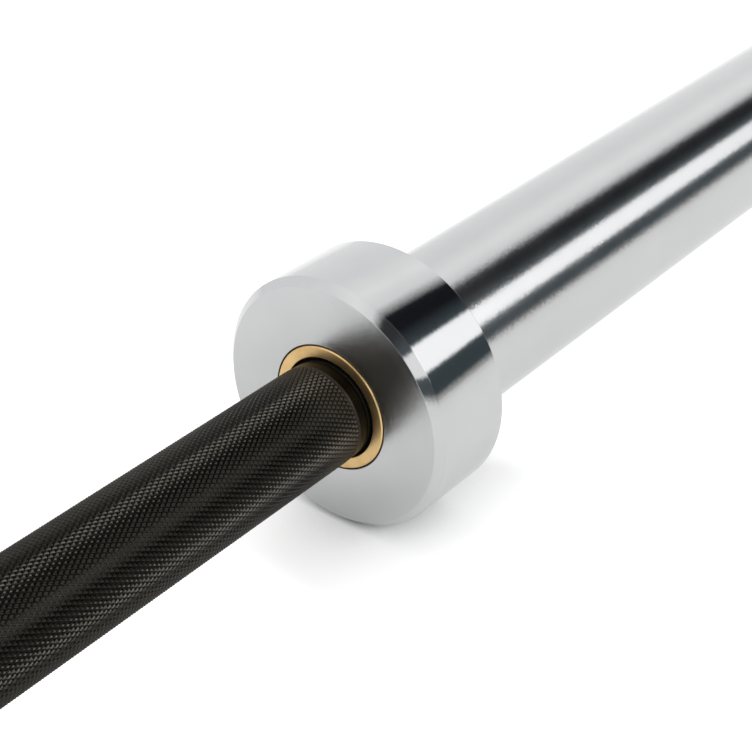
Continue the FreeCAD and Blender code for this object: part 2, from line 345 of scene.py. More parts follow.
def turned_chrome():
    material, nodes = finish("turned_chrome")
    at = lathe_place(nodes)
    haze = patches(nodes, at, TURNED.haze_scale, HAZE_DETAIL)
    rings = tool_lines(nodes, at, TURNED.ring_lines, HAZE_DETAIL)
    normal = nodes.add("ShaderNodeTexCoord", output="Normal")
    endwise = nodes.math("ABSOLUTE", nodes.add("ShaderNodeSeparateXYZ", inputs={0: normal}))
    faced = nodes.smooth(endwise, FACED_FROM, FACED_TO)
    # Painted shade: the seam round the bushing is coloured dark and made rough.
    by_bushing = nodes.math("LESS_THAN", nodes.math("ABSOLUTE", at.x), collar.end)
    seam_edge = inner_bushing.rim + SEAM_WIDTH
    shade_mask = by_bushing * nodes.smooth(at.radius, seam_edge, seam_edge + SEAM_WIDTH, 1, 0)
    worn = TURNED.hazed * haze + TURNED.ringed * rings
    lean = TURNED.lean + TURNED.faced_lean * faced
    shade(nodes, {
        "Base Color": nodes.mix(shade_mask, nodes.mix(haze, CHROME, CHROME_HAZE), PAINTED_SHADE),
        "Metallic": 1,
        "Roughness": TURNED.rough + worn + TURNED.faced * faced + TURNED.shaded * shade_mask,
        "Normal": turning_marks(nodes, at, FINE_LINES, lean, TURNED.ripple),
    })
    return material


TURNED_FINISH = turned_chrome()
print("made", TURNED_FINISH.name)

# %% [markdown]
# ## Bronze
#
# The bushing is satin machined bronze, a little tarnished in patches, with painted shade inside its mouth
# and bore: they are coloured dark and made rough. One brown colour would look like paint: bronze is a
# metal, so its colour is all in its reflection.

# %% Make the bronze
BRONZE = (0.76, 0.53, 0.25, 1)
BRONZE_TARNISH = (0.58, 0.37, 0.15, 1)
TARNISH_FROM, TARNISH_TO = 0.4, 0.8
SATIN = SimpleNamespace(tarnish_scale=120, detail=3, rough=0.32, tarnished=0.1, shaded=0.3, lean=0.3)


def satin_bronze():
    material, nodes = finish("satin_bronze")
    at = lathe_place(nodes)
    tarnish = patches(nodes, at, SATIN.tarnish_scale, SATIN.detail)
    # Painted shade: inside the mouth and bore the bronze is coloured dark and made rough.
    mouth = inner_bushing.start_bore
    shade_mask = nodes.smooth(at.radius, mouth - SEAM_WIDTH, mouth, 1, 0)
    metal = nodes.mix(nodes.smooth(tarnish, TARNISH_FROM, TARNISH_TO), BRONZE, BRONZE_TARNISH)
    shade(nodes, {
        "Base Color": nodes.mix(shade_mask, metal, PAINTED_SHADE),
        "Metallic": 1,
        "Roughness": SATIN.rough + SATIN.tarnished * tarnish + SATIN.shaded * shade_mask,
        "Normal": turning_marks(nodes, at, FINE_LINES, SATIN.lean),
    })
    return material


BRONZE_FINISH = satin_bronze()
print("made", BRONZE_FINISH.name)

# %% [markdown]
# ## Black oxide
#
# The shaft is blackened: a thin oxide that keeps some of steel's shine but very little of its light, a
# little brown in places. Hands and hooks rub it paler on the crests of the knurl. The floors of the
# grooves are painted darker, as painted shade. Close to the collar the knurl is painted paler and browner
# and made duller, as painted light, up to the plain band where the knurl ends. Separate materials for
# these would leave hard borders, so one finish reads them all from two numbers: how far a point is from
# the axis and how far from the collar.

# %% Make the black oxide
OXIDE = (0.033, 0.0314, 0.0275, 1)
OXIDE_BROWN = (0.027, 0.0246, 0.0195, 1)
OXIDE_RUBBED = (0.04, 0.0385, 0.034, 1)
OXIDE_PLAIN = (0.0125, 0.0115, 0.0095, 1)
# Painted shade for the floors of the grooves.
OXIDE_SHADED = (0.016, 0.0148, 0.0128, 1)
# Painted light for the knurl near the collar.
OXIDE_PAINTED_LIGHT = (0.085, 0.073, 0.057, 1)
BROWN_FROM, BROWN_TO = 0.35, 0.7
EVEN_RUB, PATCHY_RUB = 0.4, 0.6
PAINTED_LIGHT_SHARE = 0.7
BLACKENED = SimpleNamespace(
    mottle_scale=420, detail=5, grit=0.6, lines=5000, lean=0.12,
    rough=0.15, mottled=0.1, rubbed=0.1, near_collar=0.3, plain=0.2,
)
KNURL_RISE = 0.00032
KNURL_SINK = 0.0001
KNURL_CREST = shaft.rim + KNURL_RISE
KNURL_ROOT = shaft.rim - KNURL_SINK
CREST_BAND = 0.00012
SHADE_BAND = 0.00007
PAINTED_LIGHT_REACH = 0.024
PLAIN_BAND = 0.0042
KNURL_END = collar.start - PLAIN_BAND


def black_oxide():
    material, nodes = finish("black_oxide")
    at = lathe_place(nodes)
    mottle = patches(nodes, at, BLACKENED.mottle_scale, BLACKENED.detail, BLACKENED.grit)
    rubbed = nodes.smooth(at.radius, KNURL_CREST - CREST_BAND, KNURL_CREST)
    # Painted shade: the floors of the grooves are coloured darker.
    in_knurl = nodes.smooth(at.radius, KNURL_ROOT - 2 * SHADE_BAND, KNURL_ROOT - SHADE_BAND)
    shaded = in_knurl * nodes.smooth(at.radius, KNURL_ROOT, KNURL_ROOT + SHADE_BAND, 1, 0)
    outboard = nodes.math("ABSOLUTE", at.x)
    plain = nodes.math("GREATER_THAN", outboard, KNURL_END)
    # Painted light: near the collar the knurl is coloured paler and browner, and made rougher.
    painted_light = nodes.smooth(outboard, collar.start - PAINTED_LIGHT_REACH, KNURL_END) * (1 - plain)
    oxide = nodes.mix(nodes.smooth(mottle, BROWN_FROM, BROWN_TO), OXIDE, OXIDE_BROWN)
    crests = nodes.mix(rubbed * (EVEN_RUB + PATCHY_RUB * mottle), oxide, OXIDE_RUBBED)
    knurled = nodes.mix(shaded, nodes.mix(PAINTED_LIGHT_SHARE * painted_light, crests, OXIDE_PAINTED_LIGHT), OXIDE_SHADED)
    handled = BLACKENED.mottled * mottle + BLACKENED.rubbed * rubbed
    shade(nodes, {
        "Base Color": nodes.mix(plain, knurled, OXIDE_PLAIN),
        "Metallic": 1,
        "Roughness": BLACKENED.rough + handled + BLACKENED.near_collar * painted_light + BLACKENED.plain * plain,
        "Normal": turning_marks(nodes, at, BLACKENED.lines, BLACKENED.lean),
    })
    return material


BLACK_FINISH = black_oxide()
print("made", BLACK_FINISH.name)

# %% [markdown]
# ## Acetal and spring steel
#
# The thrust washer is a plain black plastic, scuffed where it runs. The rings and washers inside the
# sleeve are bare spring steel with a dull grain. Both are small or hidden, so a colour and a roughness
# that follow the same patches are enough, with light turning marks on the steel.

# %% Make the acetal and the spring steel
ACETAL = (0.005, 0.0045, 0.004, 1)
ACETAL_SCUFF = (0.012, 0.011, 0.01, 1)
SCUFF_FROM, SCUFF_TO = 0.5, 0.8
PLASTIC = SimpleNamespace(scuff_scale=900, detail=4, rough=0.5, scuffed=0.2, gloss=0.2)
STEEL = (0.45, 0.45, 0.46, 1)
STEEL_DULL = (0.3, 0.295, 0.285, 1)
SPRING = SimpleNamespace(
    grain_scale=700, detail=5, grit=0.65, lines=4000, lean=0.15, rough=0.28, dulled=0.2,
)


def black_acetal():
    material, nodes = finish("black_acetal")
    at = lathe_place(nodes)
    scuff = patches(nodes, at, PLASTIC.scuff_scale, PLASTIC.detail)
    shade(nodes, {
        "Base Color": nodes.mix(nodes.smooth(scuff, SCUFF_FROM, SCUFF_TO), ACETAL, ACETAL_SCUFF),
        "Roughness": PLASTIC.rough + PLASTIC.scuffed * scuff,
        "Specular IOR Level": PLASTIC.gloss,
    })
    return material


def spring_steel():
    material, nodes = finish("spring_steel")
    at = lathe_place(nodes)
    grain = patches(nodes, at, SPRING.grain_scale, SPRING.detail, SPRING.grit)
    shade(nodes, {
        "Base Color": nodes.mix(grain, STEEL, STEEL_DULL),
        "Metallic": 1,
        "Roughness": SPRING.rough + SPRING.dulled * grain,
        "Normal": turning_marks(nodes, at, SPRING.lines, SPRING.lean),
    })
    return material


ACETAL_FINISH = black_acetal()
STEEL_FINISH = spring_steel()
print("made", ACETAL_FINISH.name, "and", STEEL_FINISH.name)

# %% [markdown]
# ## A lathe
#
# Collar, sleeve, bushing, washer, cap and shaft are all turned, so they are all one outline spun about
# the bar. Blender's Screw modifier would spin it too, but a few lines of mesh code keep the ends closed
# on the axis and leave nothing live. No real edge is sharp: each corner of an outline is first rounded
# with a short curve, and that narrow band is what catches the light.

# %% Soften an outline
CORNER_STEPS = 4
CORNER_SHARE = 0.4
EDGE = 0.00018
CRISP_EDGE = 0.00004


def soften(outline):
    """Round the corners of an outline of (along, radius) points. Corners on the axis stay.

    A third number in a corner is a rounding of its own.
    """
    points = [Vector(corner[:2]) for corner in outline]
    rounded = []
    for index, point in enumerate(points):
        if point.y < TOUCH:
            rounded.append(tuple(point))
            continue
        rounding = outline[index][2] if len(outline[index]) > 2 else EDGE
        before = points[index - 1] - point
        after = points[(index + 1) % len(points)] - point
        bend = math.pi - before.angle(after)
        most = min(before.length, after.length) * CORNER_SHARE
        back = min(rounding * math.tan(bend / 2), most)
        start = point + before.normalized() * back
        end = point + after.normalized() * back
        for step in range(CORNER_STEPS + 1):
            share = step / CORNER_STEPS
            rounded.append(tuple(start.lerp(point, share).lerp(point.lerp(end, share), share)))
    return rounded


print("edges broken by", EDGE * MILLIMETRES, "mm")

# %% [markdown]
# Spinning puts a ring of points at each corner of the outline and joins ring to ring. A point on the axis
# is its own ring. The left end is the right one mirrored, which turns faces inside out, so the normals
# are worked out afresh. The piece holds its material. Then it is handed over: it rides on its body and
# stands for its CAD node, which is hidden.

# %% Spin an outline and hand the piece over
SEGMENTS = 240
SHARP_TURN = math.radians(32)


def spin(name, outline, hand, material):
    """Turn a closed outline about the bar into a piece. A left hand mirrors it to the other end."""
    mesh = bmesh.new()
    turns = np.linspace(0, math.tau, SEGMENTS, endpoint=False)
    rings = []
    for along, radius in soften(outline):
        spots = turns if radius > TOUCH else turns[:1]
        circle = [(hand * along, radius * math.cos(turn), radius * math.sin(turn)) for turn in spots]
        rings.append([mesh.verts.new(spot) for spot in circle])
    for ring, following in zip(rings, rings[1:] + rings[:1]):
        if len(ring) == len(following) == 1:
            continue
        for index in range(SEGMENTS):
            corners = [
                ring[index % len(ring)], ring[(index + 1) % len(ring)],
                following[(index + 1) % len(following)], following[index % len(following)],
            ]
            mesh.faces.new(dict.fromkeys(corners))
    bmesh.ops.recalc_face_normals(mesh, faces=mesh.faces)
    data = bpy.data.meshes.new(name)
    mesh.to_mesh(data)
    mesh.free()
    data.shade_smooth()
    data.set_sharp_from_angle(angle=SHARP_TURN)
    data.materials.append(material)
    piece = bpy.data.objects.new(name, data)
    bpy.context.scene.collection.objects.link(piece)
    return piece


def hand_over(piece, body, slot, *cad_nodes):
    """Let a piece ride on its body and stand for its CAD nodes, which are hidden. The slot is not used."""
    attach(piece, body)
    if cad_nodes:
        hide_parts(*cad_nodes)
    print(f"{piece.name}: {len(piece.data.polygons)} faces on {body}")


def turn_both(name, outline, material, slot, node):
    """Turn a piece of the sleeve for each end of the bar."""
    for side, hand in HANDS.items():
        piece = spin(f"{side}_{name}", outline, hand, material)
        hand_over(piece, f"{side}_sleeve", slot, f"{side}_{node}")


print("lathe ready with", SEGMENTS, "segments")

# %% [markdown]
# ## Collars
#
# The collar is the ring that stops the plates. Its broad front chamfer and turned face are what the
# picture looks at. It is bored for the bushing and socketed from behind for the sleeve. A fine, deep seam
# stays open round the bushing, as on a real press fit with broken edges. Where chamfer and rim meet, the
# tool left the edge crisp: a wider rounding there would draw a bright line across the stripes.

# %% Turn the collars
SEAM_DEPTH = 0.0012


def collar_outline():
    chamfer = collar.rim - collar.start_rim
    back_chamfer = collar.rim - collar.end_rim
    mouth = collar.end_bore - sleeve.start_rim
    seam_rim = inner_bushing.rim + SEAM_WIDTH
    seam_floor = collar.start + SEAM_DEPTH
    return [
        (collar.start, seam_rim),
        (collar.start, collar.start_rim),
        (collar.start + chamfer, collar.rim, CRISP_EDGE),
        (collar.end - back_chamfer, collar.rim),
        (collar.end, collar.end_rim),
        (collar.end, collar.end_bore),
        (collar.end - mouth, sleeve.start_rim),
        (sleeve.start, sleeve.start_rim),
        (sleeve.start, inner_bushing.rim),
        (seam_floor, inner_bushing.rim),
        (seam_floor, seam_rim),
    ]


turn_both("turned_collar", collar_outline(), TURNED_FINISH, "turned_steel", "collar")

# %% [markdown]
# ## Sleeves
#
# The sleeve is the smooth tube that plates slide over. It is bored through, opened out for a bushing at
# each end, and opened further at its outer end for the cap and the groove of the cap's ring. A tube with
# a flat end would do from far off, but then the cap would have no seat and the ring no groove.

# %% Turn the sleeves
CAP_CLEARANCE = 0.00005
GROOVE_PLAY = 0.0001


def sleeve_outline():
    chamfer = sleeve.rim - sleeve.end_rim
    seat = end_cap.rim + CAP_CLEARANCE
    groove_end = cap_ring.end + GROOVE_PLAY
    return [
        (sleeve.start, sleeve.start_bore),
        (sleeve.start, sleeve.start_rim),
        (collar.end, sleeve.start_rim),
        (collar.end, sleeve.rim),
        (sleeve.end - chamfer, sleeve.rim),
        (sleeve.end, sleeve.end_rim),
        (sleeve.end, sleeve.end_bore),
        (sleeve.end - (sleeve.end_bore - seat), seat),
        (groove_end, seat),
        (groove_end, cap_ring.rim),
        (cap_ring.start, cap_ring.rim),
        (cap_ring.start, seat),
        (end_cap.start, seat),
        (end_cap.start, outer_bushing.rim),
        (outer_bushing.start, outer_bushing.rim),
        (outer_bushing.start, sleeve.bore),
        (inner_bushing.end, sleeve.bore),
        (inner_bushing.end, inner_bushing.rim),
    ]


turn_both("chrome_sleeve", sleeve_outline(), CHROME_FINISH, "bright_chrome", "sleeve")

# %% [markdown]
# ## Inner bushings and thrust washers
#
# The bronze ring round the shaft is the end of a long bushing. Its mouth is recessed for a black thrust
# washer that takes the shaft's shoulder. Only a thin dark gap shows between shaft and bronze, but it is
# what makes the two read as separate pieces, so the recess is turned and not painted.

# %% Turn the inner bushings and thrust washers
def bushing_outline():
    edge = inner_bushing.rim - inner_bushing.start_rim
    at_floor = np.abs(inner_bushing.along - thrust_washer.end) < TOUCH
    mouth = inner_bushing.radius[at_floor].max()
    mouth_chamfer = inner_bushing.start_bore - mouth
    return [
        (inner_bushing.start, inner_bushing.start_bore),
        (inner_bushing.start, inner_bushing.start_rim),
        (inner_bushing.start + edge, inner_bushing.rim),
        (inner_bushing.end - edge, inner_bushing.rim),
        (inner_bushing.end, inner_bushing.end_rim),
        (inner_bushing.end, inner_bushing.bore),
        (thrust_washer.end, inner_bushing.bore),
        (thrust_washer.end, mouth),
        (inner_bushing.start + mouth_chamfer, mouth),
    ]


def washer_outline():
    return [
        (thrust_washer.start, thrust_washer.bore),
        (thrust_washer.start, thrust_washer.rim),
        (thrust_washer.end, thrust_washer.rim),
        (thrust_washer.end, thrust_washer.bore),
    ]


turn_both("bronze_bushing", bushing_outline(), BRONZE_FINISH, "bronze", "inner_bushing")
turn_both("acetal_washer", washer_outline(), ACETAL_FINISH, "black_acetal", "inner_thrust_washer")

# %% [markdown]
# ## End caps
#
# A shallow dished disc closes each sleeve and sits behind a snap ring. It carries no mark. It is turned
# like the rest, from an outline that starts and ends on the axis.

# %% Turn the end caps
CAP_DISH = 0.001


def cap_outline():
    edge = end_cap.rim - end_cap.end_rim
    return [
        (end_cap.start, 0),
        (end_cap.start, end_cap.rim),
        (end_cap.end - edge, end_cap.rim),
        (end_cap.end, end_cap.end_rim),
        (end_cap.end, end_cap.end_bore),
        (end_cap.end - CAP_DISH, end_cap.end_bore - CAP_DISH),
        (end_cap.end - CAP_DISH, 0),
    ]


turn_both("dished_cap", cap_outline(), TURNED_FINISH, "bright_chrome", "end_cap")

# %% [markdown]
# ## The shaft
#
# One bar from end to end: a plain middle, two knurled stretches on each side with a smooth ring mark
# between them, a plain band beside each collar, then the slimmer journal that runs inside the sleeve.
# Rolling a knurl pushes metal down into grooves and up into crests, so the shaft is turned slightly small
# under the knurl and the teeth are added on top.

# %% Measure the grip
KNURL_REACH = 0.445
in_mark = (np.abs(shaft.along) < KNURL_END) & (shaft.radius < shaft.rim - TOUCH)
mark_start = np.abs(shaft.along[in_mark]).min()
mark_end = np.abs(shaft.along[in_mark]).max()
mark_floor = shaft.radius[in_mark].min()
journal = shaft.radius[shaft.along > thrust_washer.end].max()
grip_end = shaft.along[shaft.radius > shaft.rim - TOUCH].max()
shoulder = shaft.along[shaft.radius > journal + TOUCH].max()
shoulder_rim = shaft.radius[shaft.along > shoulder - TOUCH].max()
STRETCHES = {
    "inner": (collar.start - KNURL_REACH, mark_start),
    "outer": (mark_end, KNURL_END),
}
print(f"ring mark from {mark_start:.4f} to {mark_end:.4f}")
print(f"journal: {2 * journal * MILLIMETRES:.1f} mm across")

# %% Turn the shaft
KNURL_EASE = 0.0014


def shaft_outline():
    knurl_start = STRETCHES["inner"][0]
    groove_start = shaft_ring.start - GROOVE_PLAY
    end_chamfer = journal - shaft.end_rim
    right_half = [
        (knurl_start, shaft.rim),
        (knurl_start + KNURL_EASE, KNURL_ROOT),
        (mark_start, KNURL_ROOT),
        (mark_start, mark_floor),
        (mark_end, mark_floor),
        (mark_end, KNURL_ROOT),
        (KNURL_END - KNURL_EASE, KNURL_ROOT),
        (KNURL_END, shaft.rim),
        (grip_end, shaft.rim),
        (shoulder, shoulder_rim),
        (shoulder, journal),
        (groove_start, journal),
        (groove_start, shaft_ring.bore),
        (shaft_ring.end, shaft_ring.bore),
        (shaft_ring.end, journal),
        (shaft.end - end_chamfer, journal),
        (shaft.end, shaft.end_rim),
        (shaft.end, 0),
    ]
    left_half = [(-along, radius) for along, radius in reversed(right_half)]
    return left_half + right_half


turned_shaft = spin("turned_shaft", shaft_outline(), HANDS["right"], BLACK_FINISH)
hand_over(turned_shaft, "shaft", "black_shaft", "shaft")

# %% [markdown]
# ## The knurl
#
# A knurl is rolled by two wheels that cross, which leaves rows of small diamonds. There are tens of
# thousands, so they are a job for Geometry Nodes: one point for each diamond, worked out from its number,
# then one tooth on each point. A tooth is a four-sided pyramid in two steps. The upper step is the
# flatter one, so the tooth is domed, as a worn tooth is. What stays of the shaft between the teeth is the
# floor of the grooves. A bump map would save geometry, but the glints along the shaft come from real
# slopes that face the light in turn.
#
# The teeth get shallower towards the ends of a row, where the wheels are backed off. A tooth has no
# underside, because its foot is sunk in the shaft.

# %% Build the knurl's node tree
KNURL_INPUTS = {
    "Start": "NodeSocketFloat",
    "Length": "NodeSocketFloat",
    "Rows": "NodeSocketInt",
    "Round": "NodeSocketInt",
    "Seat": "NodeSocketFloat",
    "Height": "NodeSocketFloat",
    "Dome": "NodeSocketFloat",
    "Fill": "NodeSocketFloat",
    "Run-out": "NodeSocketFloat",
    "Material": "NodeSocketMaterial",
}
FADED_TOOTH_SHARE = 0.3
TOOTH_SIDES = 4
TOOTH_STEPS = 2


def domed_tooth(nodes, dome):
    """A pyramid one high and one from its middle to a corner, with a ring half way up lifted to a dome."""
    pyramid = nodes.add(
        "GeometryNodeMeshCone", {"fill_type": "NONE"},
        {
            "Vertices": TOOTH_SIDES, "Side Segments": TOOTH_STEPS,
            "Radius Top": 0, "Radius Bottom": 1, "Depth": 1,
        },
    )
    x = nodes.add("ShaderNodeSeparateXYZ", inputs={0: nodes.add("GeometryNodeInputPosition")})
    z = x.output("Z")
    lifted = z + dome * z * (1 - z)
    domed = nodes.add("ShaderNodeCombineXYZ", inputs={"X": x, "Y": x.output("Y"), "Z": lifted})
    return nodes.add("GeometryNodeSetPosition", inputs={"Geometry": pyramid, "Position": domed})


def knurl_tree():
    """Rows of teeth round the bar. Every second row is turned by half a tooth, so that they interlock."""
    tree = bpy.data.node_groups.new("rolled_knurl", "GeometryNodeTree")
    nodes = Nodes(tree)
    for name, kind in KNURL_INPUTS.items():
        tree.interface.new_socket(name, in_out="INPUT", socket_type=kind)
    tree.interface.new_socket("Knurl", in_out="OUTPUT", socket_type="NodeSocketGeometry")
    given = nodes.add("NodeGroupInput")
    wires = map(given.output, KNURL_INPUTS)
    start, length, rows, around, seat, height, dome, fill, run_out, material = wires
    number = nodes.add("GeometryNodeInputIndex")
    row = nodes.math("FLOOR", number / around)
    half_pitch = length / (2 * rows)
    half_tooth = nodes.math("MODULO", row, 2) / 2
    turn = (number - row * around + half_tooth) * math.tau / around
    from_start = (row + 1) * half_pitch
    from_end = nodes.math("MINIMUM", from_start, length - from_start)
    faded = nodes.smooth(from_end, 0, run_out, FADED_TOOTH_SHARE, 1)
    y = nodes.math("COSINE", turn)
    z = nodes.math("SINE", turn)
    outward = nodes.add("ShaderNodeCombineXYZ", inputs={"X": 0, "Y": y, "Z": z})
    spot = nodes.add(
        "ShaderNodeCombineXYZ", inputs={"X": start + from_start, "Y": seat * y, "Z": seat * z},
    )
    points = nodes.add("GeometryNodePoints", inputs={"Count": (2 * rows - 1) * around, "Position": spot})
    facing = nodes.add(
        "FunctionNodeAxesToRotation", {"primary_axis": "Z", "secondary_axis": "X"},
        {"Primary Axis": outward, "Secondary Axis": (1, 0, 0)},
    )
    half_width = fill * seat * math.pi / around
    scale = nodes.add(
        "ShaderNodeCombineXYZ", inputs={"X": fill * half_pitch, "Y": half_width, "Z": height * faded},
    )
    teeth = nodes.add(
        "GeometryNodeInstanceOnPoints",
        inputs={"Points": points, "Instance": domed_tooth(nodes, dome), "Rotation": facing, "Scale": scale},
    )
    real = nodes.add("GeometryNodeRealizeInstances", inputs={"Geometry": teeth})
    done = nodes.add("GeometryNodeSetMaterial", inputs={"Geometry": real, "Material": material})
    nodes.add("NodeGroupOutput", inputs={"Knurl": done})
    return tree


KNURL_TREE = knurl_tree()
print("knurl tree with", len(KNURL_TREE.nodes), "nodes")

# %% [markdown]
# Each stretch of knurl is its own piece, so it needs a map that unrolls the shaft: along the bar is
# across the map, and round it is up. No automatic unwrapping copes with ten thousand small diamonds. A
# face that lies across the seam of the map is kept whole by measuring its corners from its first one.

# %% Unroll a stretch of knurl
MAP_MARGIN = 0.004


def unroll(data, start, length):
    """Give a mesh round the bar a map that lays it flat."""
    spots = np.empty(len(data.vertices) * 3)
    data.vertices.foreach_get("co", spots)
    spots = spots.reshape(-1, 3)
    corners = np.empty(len(data.loops), dtype=int)
    data.loops.foreach_get("vertex_index", corners)
    turn = np.arctan2(spots[:, 2], spots[:, 1])[corners] / math.tau
    face = np.repeat(np.arange(len(data.polygons)), [polygon.loop_total for polygon in data.polygons])
    first = turn[[polygon.loop_start for polygon in data.polygons]][face]
    # The nearest way round from the first corner, as a share of a turn.
    turn = first + (turn - first + 0.5) % 1 - 0.5
    across = (spots[corners, 0] - start) / length
    up = turn - np.floor(first)
    flat = np.column_stack([across, up * (1 - 2 * MAP_MARGIN) + MAP_MARGIN])
    data.uv_layers.new(name="OFBake").data.foreach_set("uv", flat.ravel())


print("knurl maps keep a margin of", MAP_MARGIN)

# %% [markdown]
# The tree now runs once for each stretch with that stretch's numbers, and the result is kept as a plain
# mesh. It is shaded flat, because a smooth shade would round off the small slopes that make the glints.

# %% Roll the knurl
KNURL_PITCH = 0.00241
KNURL_ROUND = 66
KNURL_DOME = 0.4
KNURL_FILL_SHARE = 0.94
KNURL_RUN_OUT = 0.0018
TOOTH_FOOT = 0.00003


def roll_knurl(name, start, end):
    """One stretch of knurl as a plain mesh."""
    values = {
        "Start": start,
        "Length": end - start,
        "Rows": round((end - start) / KNURL_PITCH),
        "Round": KNURL_ROUND,
        "Seat": KNURL_ROOT - TOOTH_FOOT,
        "Height": KNURL_CREST - KNURL_ROOT + TOOTH_FOOT,
        "Dome": KNURL_DOME,
        "Fill": KNURL_FILL_SHARE,
        "Run-out": KNURL_RUN_OUT,
        "Material": BLACK_FINISH,
    }
    carrier = bpy.data.objects.new(name, bpy.data.meshes.new(f"{name}_start"))
    bpy.context.scene.collection.objects.link(carrier)
    modifier = carrier.modifiers.new("knurl", "NODES")
    modifier.node_group = KNURL_TREE
    for item in KNURL_TREE.interface.items_tree:
        if item.in_out == "INPUT":
            modifier[item.identifier] = values[item.name]
    rolled = carrier.evaluated_get(bpy.context.evaluated_depsgraph_get())
    data = bpy.data.meshes.new_from_object(rolled)
    data.name = name
    carrier.modifiers.clear()
    carrier.data = data
    data.shade_flat()
    unroll(data, start, end - start)
    return carrier


for side, hand in HANDS.items():
    for stretch, ends in STRETCHES.items():
        start, end = sorted(hand * along for along in ends)
        hand_over(roll_knurl(f"{side}_{stretch}_knurl", start, end), "shaft", "black_shaft")

# %% [markdown]
# ## Pieces that stay as CAD made them
#
# The washers and snap rings deep in the sleeve, and the outer bushings, already have their whole shape in
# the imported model. They could be turned again here, but nothing would be gained. They keep that mesh and
# only take a finish.

# %% Dress the remaining CAD nodes
KEPT = {
    "outer_bushing": BRONZE_FINISH,
    "outer_thrust_washer": STEEL_FINISH,
    "spring_washer": STEEL_FINISH,
    "shaft_snap_ring": STEEL_FINISH,
    "end_cap_snap_ring": STEEL_FINISH,
}
for side in HANDS:
    for node, material in KEPT.items():
        for material_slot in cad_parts[f"{side}_{node}"].material_slots:
            material_slot.material = material
print("dressed", len(HANDS) * len(KEPT), "CAD nodes")

# %% [markdown]
# ## The floor
#
# The bar stands on its collars. The floor is a pale matte sheet that reads as white and still takes the
# soft shadow. Such a sheet under plain light falls a little short of white, so it also glows, but only
# for rays that come straight from the camera or by way of a mirror, so the glow lights nothing. In a
# mirror the glow carries painted light: its tone changes with the distance from the bar, as on a sheet
# that is lit from one side.
#
# A glow would wash out the dark spot under a thing that really touches the floor. So a shadow is painted
# into the glow beside the collars: it fades where the Ambient Occlusion node finds little open sky.
# Further along the sleeves and the shaft the glow stays whole.

# %% Paint the floor
FLOOR_PAINT = (0.5, 0.5, 0.5, 1)
FLOOR_GLOW = (0.77, 0.77, 0.77, 1)
# Painted light: the glow's tone in a mirror, across the floor.
MIRROR_PAINTED_LIGHT = [
    (-1.5, (0.37, 0.36, 0.345)),
    (0.3, (0.63, 0.63, 0.625)),
    (1.5, (0.47, 0.47, 0.465)),
]
CONTACT_REACH = 0.05
CONTACT_DEPTH = 1.2


def floor_finish():
    material, nodes = finish("studio_floor")
    at = lathe_place(nodes)
    path = nodes.add("ShaderNodeLightPath")
    direct = path.output("Is Camera Ray")
    mirrored = nodes.math("MAXIMUM", path.output("Is Glossy Ray"), path.output("Is Transmission Ray"))
    seen = nodes.math("MAXIMUM", direct, mirrored)
    # Painted light: in a mirror the glow's tone follows the place across the bar.
    tone = nodes.mix(direct, nodes.ramp(at.y, MIRROR_PAINTED_LIGHT), FLOOR_GLOW)
    # Painted shadow: beside the collars the glow is cut down where little sky is open.
    open_sky = nodes.add("ShaderNodeAmbientOcclusion", inputs={"Distance": CONTACT_REACH}, output="AO")
    hidden = 1 - open_sky
    middle = (collar.start + collar.end) / 2
    from_collar = nodes.math("ABSOLUTE", nodes.math("ABSOLUTE", at.x) - middle)
    away = nodes.smooth(from_collar, collar.end - middle, CONTACT_REACH)
    painted_shadow = nodes.math("MAXIMUM", away, 1 - CONTACT_DEPTH * hidden * hidden)
    matte = nodes.add("ShaderNodeBsdfDiffuse", inputs={"Color": FLOOR_PAINT})
    glow = nodes.add("ShaderNodeEmission", inputs={"Color": tone, "Strength": seen * painted_shadow})
    both = nodes.add("ShaderNodeAddShader", inputs={0: matte, 1: glow})
    nodes.add("ShaderNodeOutputMaterial", inputs={"Surface": both})
    return material


FLOOR_FINISH = floor_finish()
print("made", FLOOR_FINISH.name)

# %% Lay the floor
FLOOR_SIZE = 60
GROUND = -collar.rim
half_floor = FLOOR_SIZE / 2
floor_corners = [
    (-half_floor, -half_floor, GROUND),
    (half_floor, -half_floor, GROUND),
    (half_floor, half_floor, GROUND),
    (-half_floor, half_floor, GROUND),
]
sheet = bpy.data.meshes.new("studio_floor")
sheet.from_pydata(floor_corners, [], [(0, 1, 2, 3)])
sheet.materials.append(FLOOR_FINISH)
floor = bpy.data.objects.new("studio_floor", sheet)
bpy.context.scene.collection.objects.link(floor)
print("floor at", round(GROUND, 4))

# %% [markdown]
# ## The studio
#
# A chrome bar is a picture of its room, so the light is what makes it look like chrome. The room is long
# and plain, and its walls run along the bar: pale behind and above, a black strip overhead, a bright
# strip lamp on the near side and dark strips above and below it. Seen from the bar each of these is a
# band of angles about the bar's own axis, so the whole room is one colour ramp over that angle, and a
# lamp is a band laid over it. Area lamps could stand in for the strips, but a ramp keeps every edge of
# every reflection where it is wanted.
#
# Angles are in degrees: 0 is level and behind the bar, 90 straight up and 180 level on the camera's side.

# %% Name the walls and lamps of the studio
PALE = (0.82, 0.82, 0.82)
CEILING = (0.95, 0.95, 0.935)
BLACK_STRIP = (0.009, 0.01, 0.012)
DARK_STRIP = (0.045, 0.06, 0.068)
HORIZON = (0.56, 0.55, 0.53)
WALLS = [
    (0, PALE),
    (48, PALE),
    (72, CEILING),
    (88.7, PALE),
    (99.7, BLACK_STRIP),
    (114, BLACK_STRIP),
    (128, DARK_STRIP),
    (173, DARK_STRIP),
    (180, HORIZON),
]
ROOM_LEVEL = 1.27
STRIP_LAMP = (133, 152.8)
KEY_LAMP = (137, 158)
FILL_CARD = (93, 124)
LAMP_SOFT = 4
print("studio of", len(WALLS), "wall stops, a strip lamp, a key lamp and a fill card")

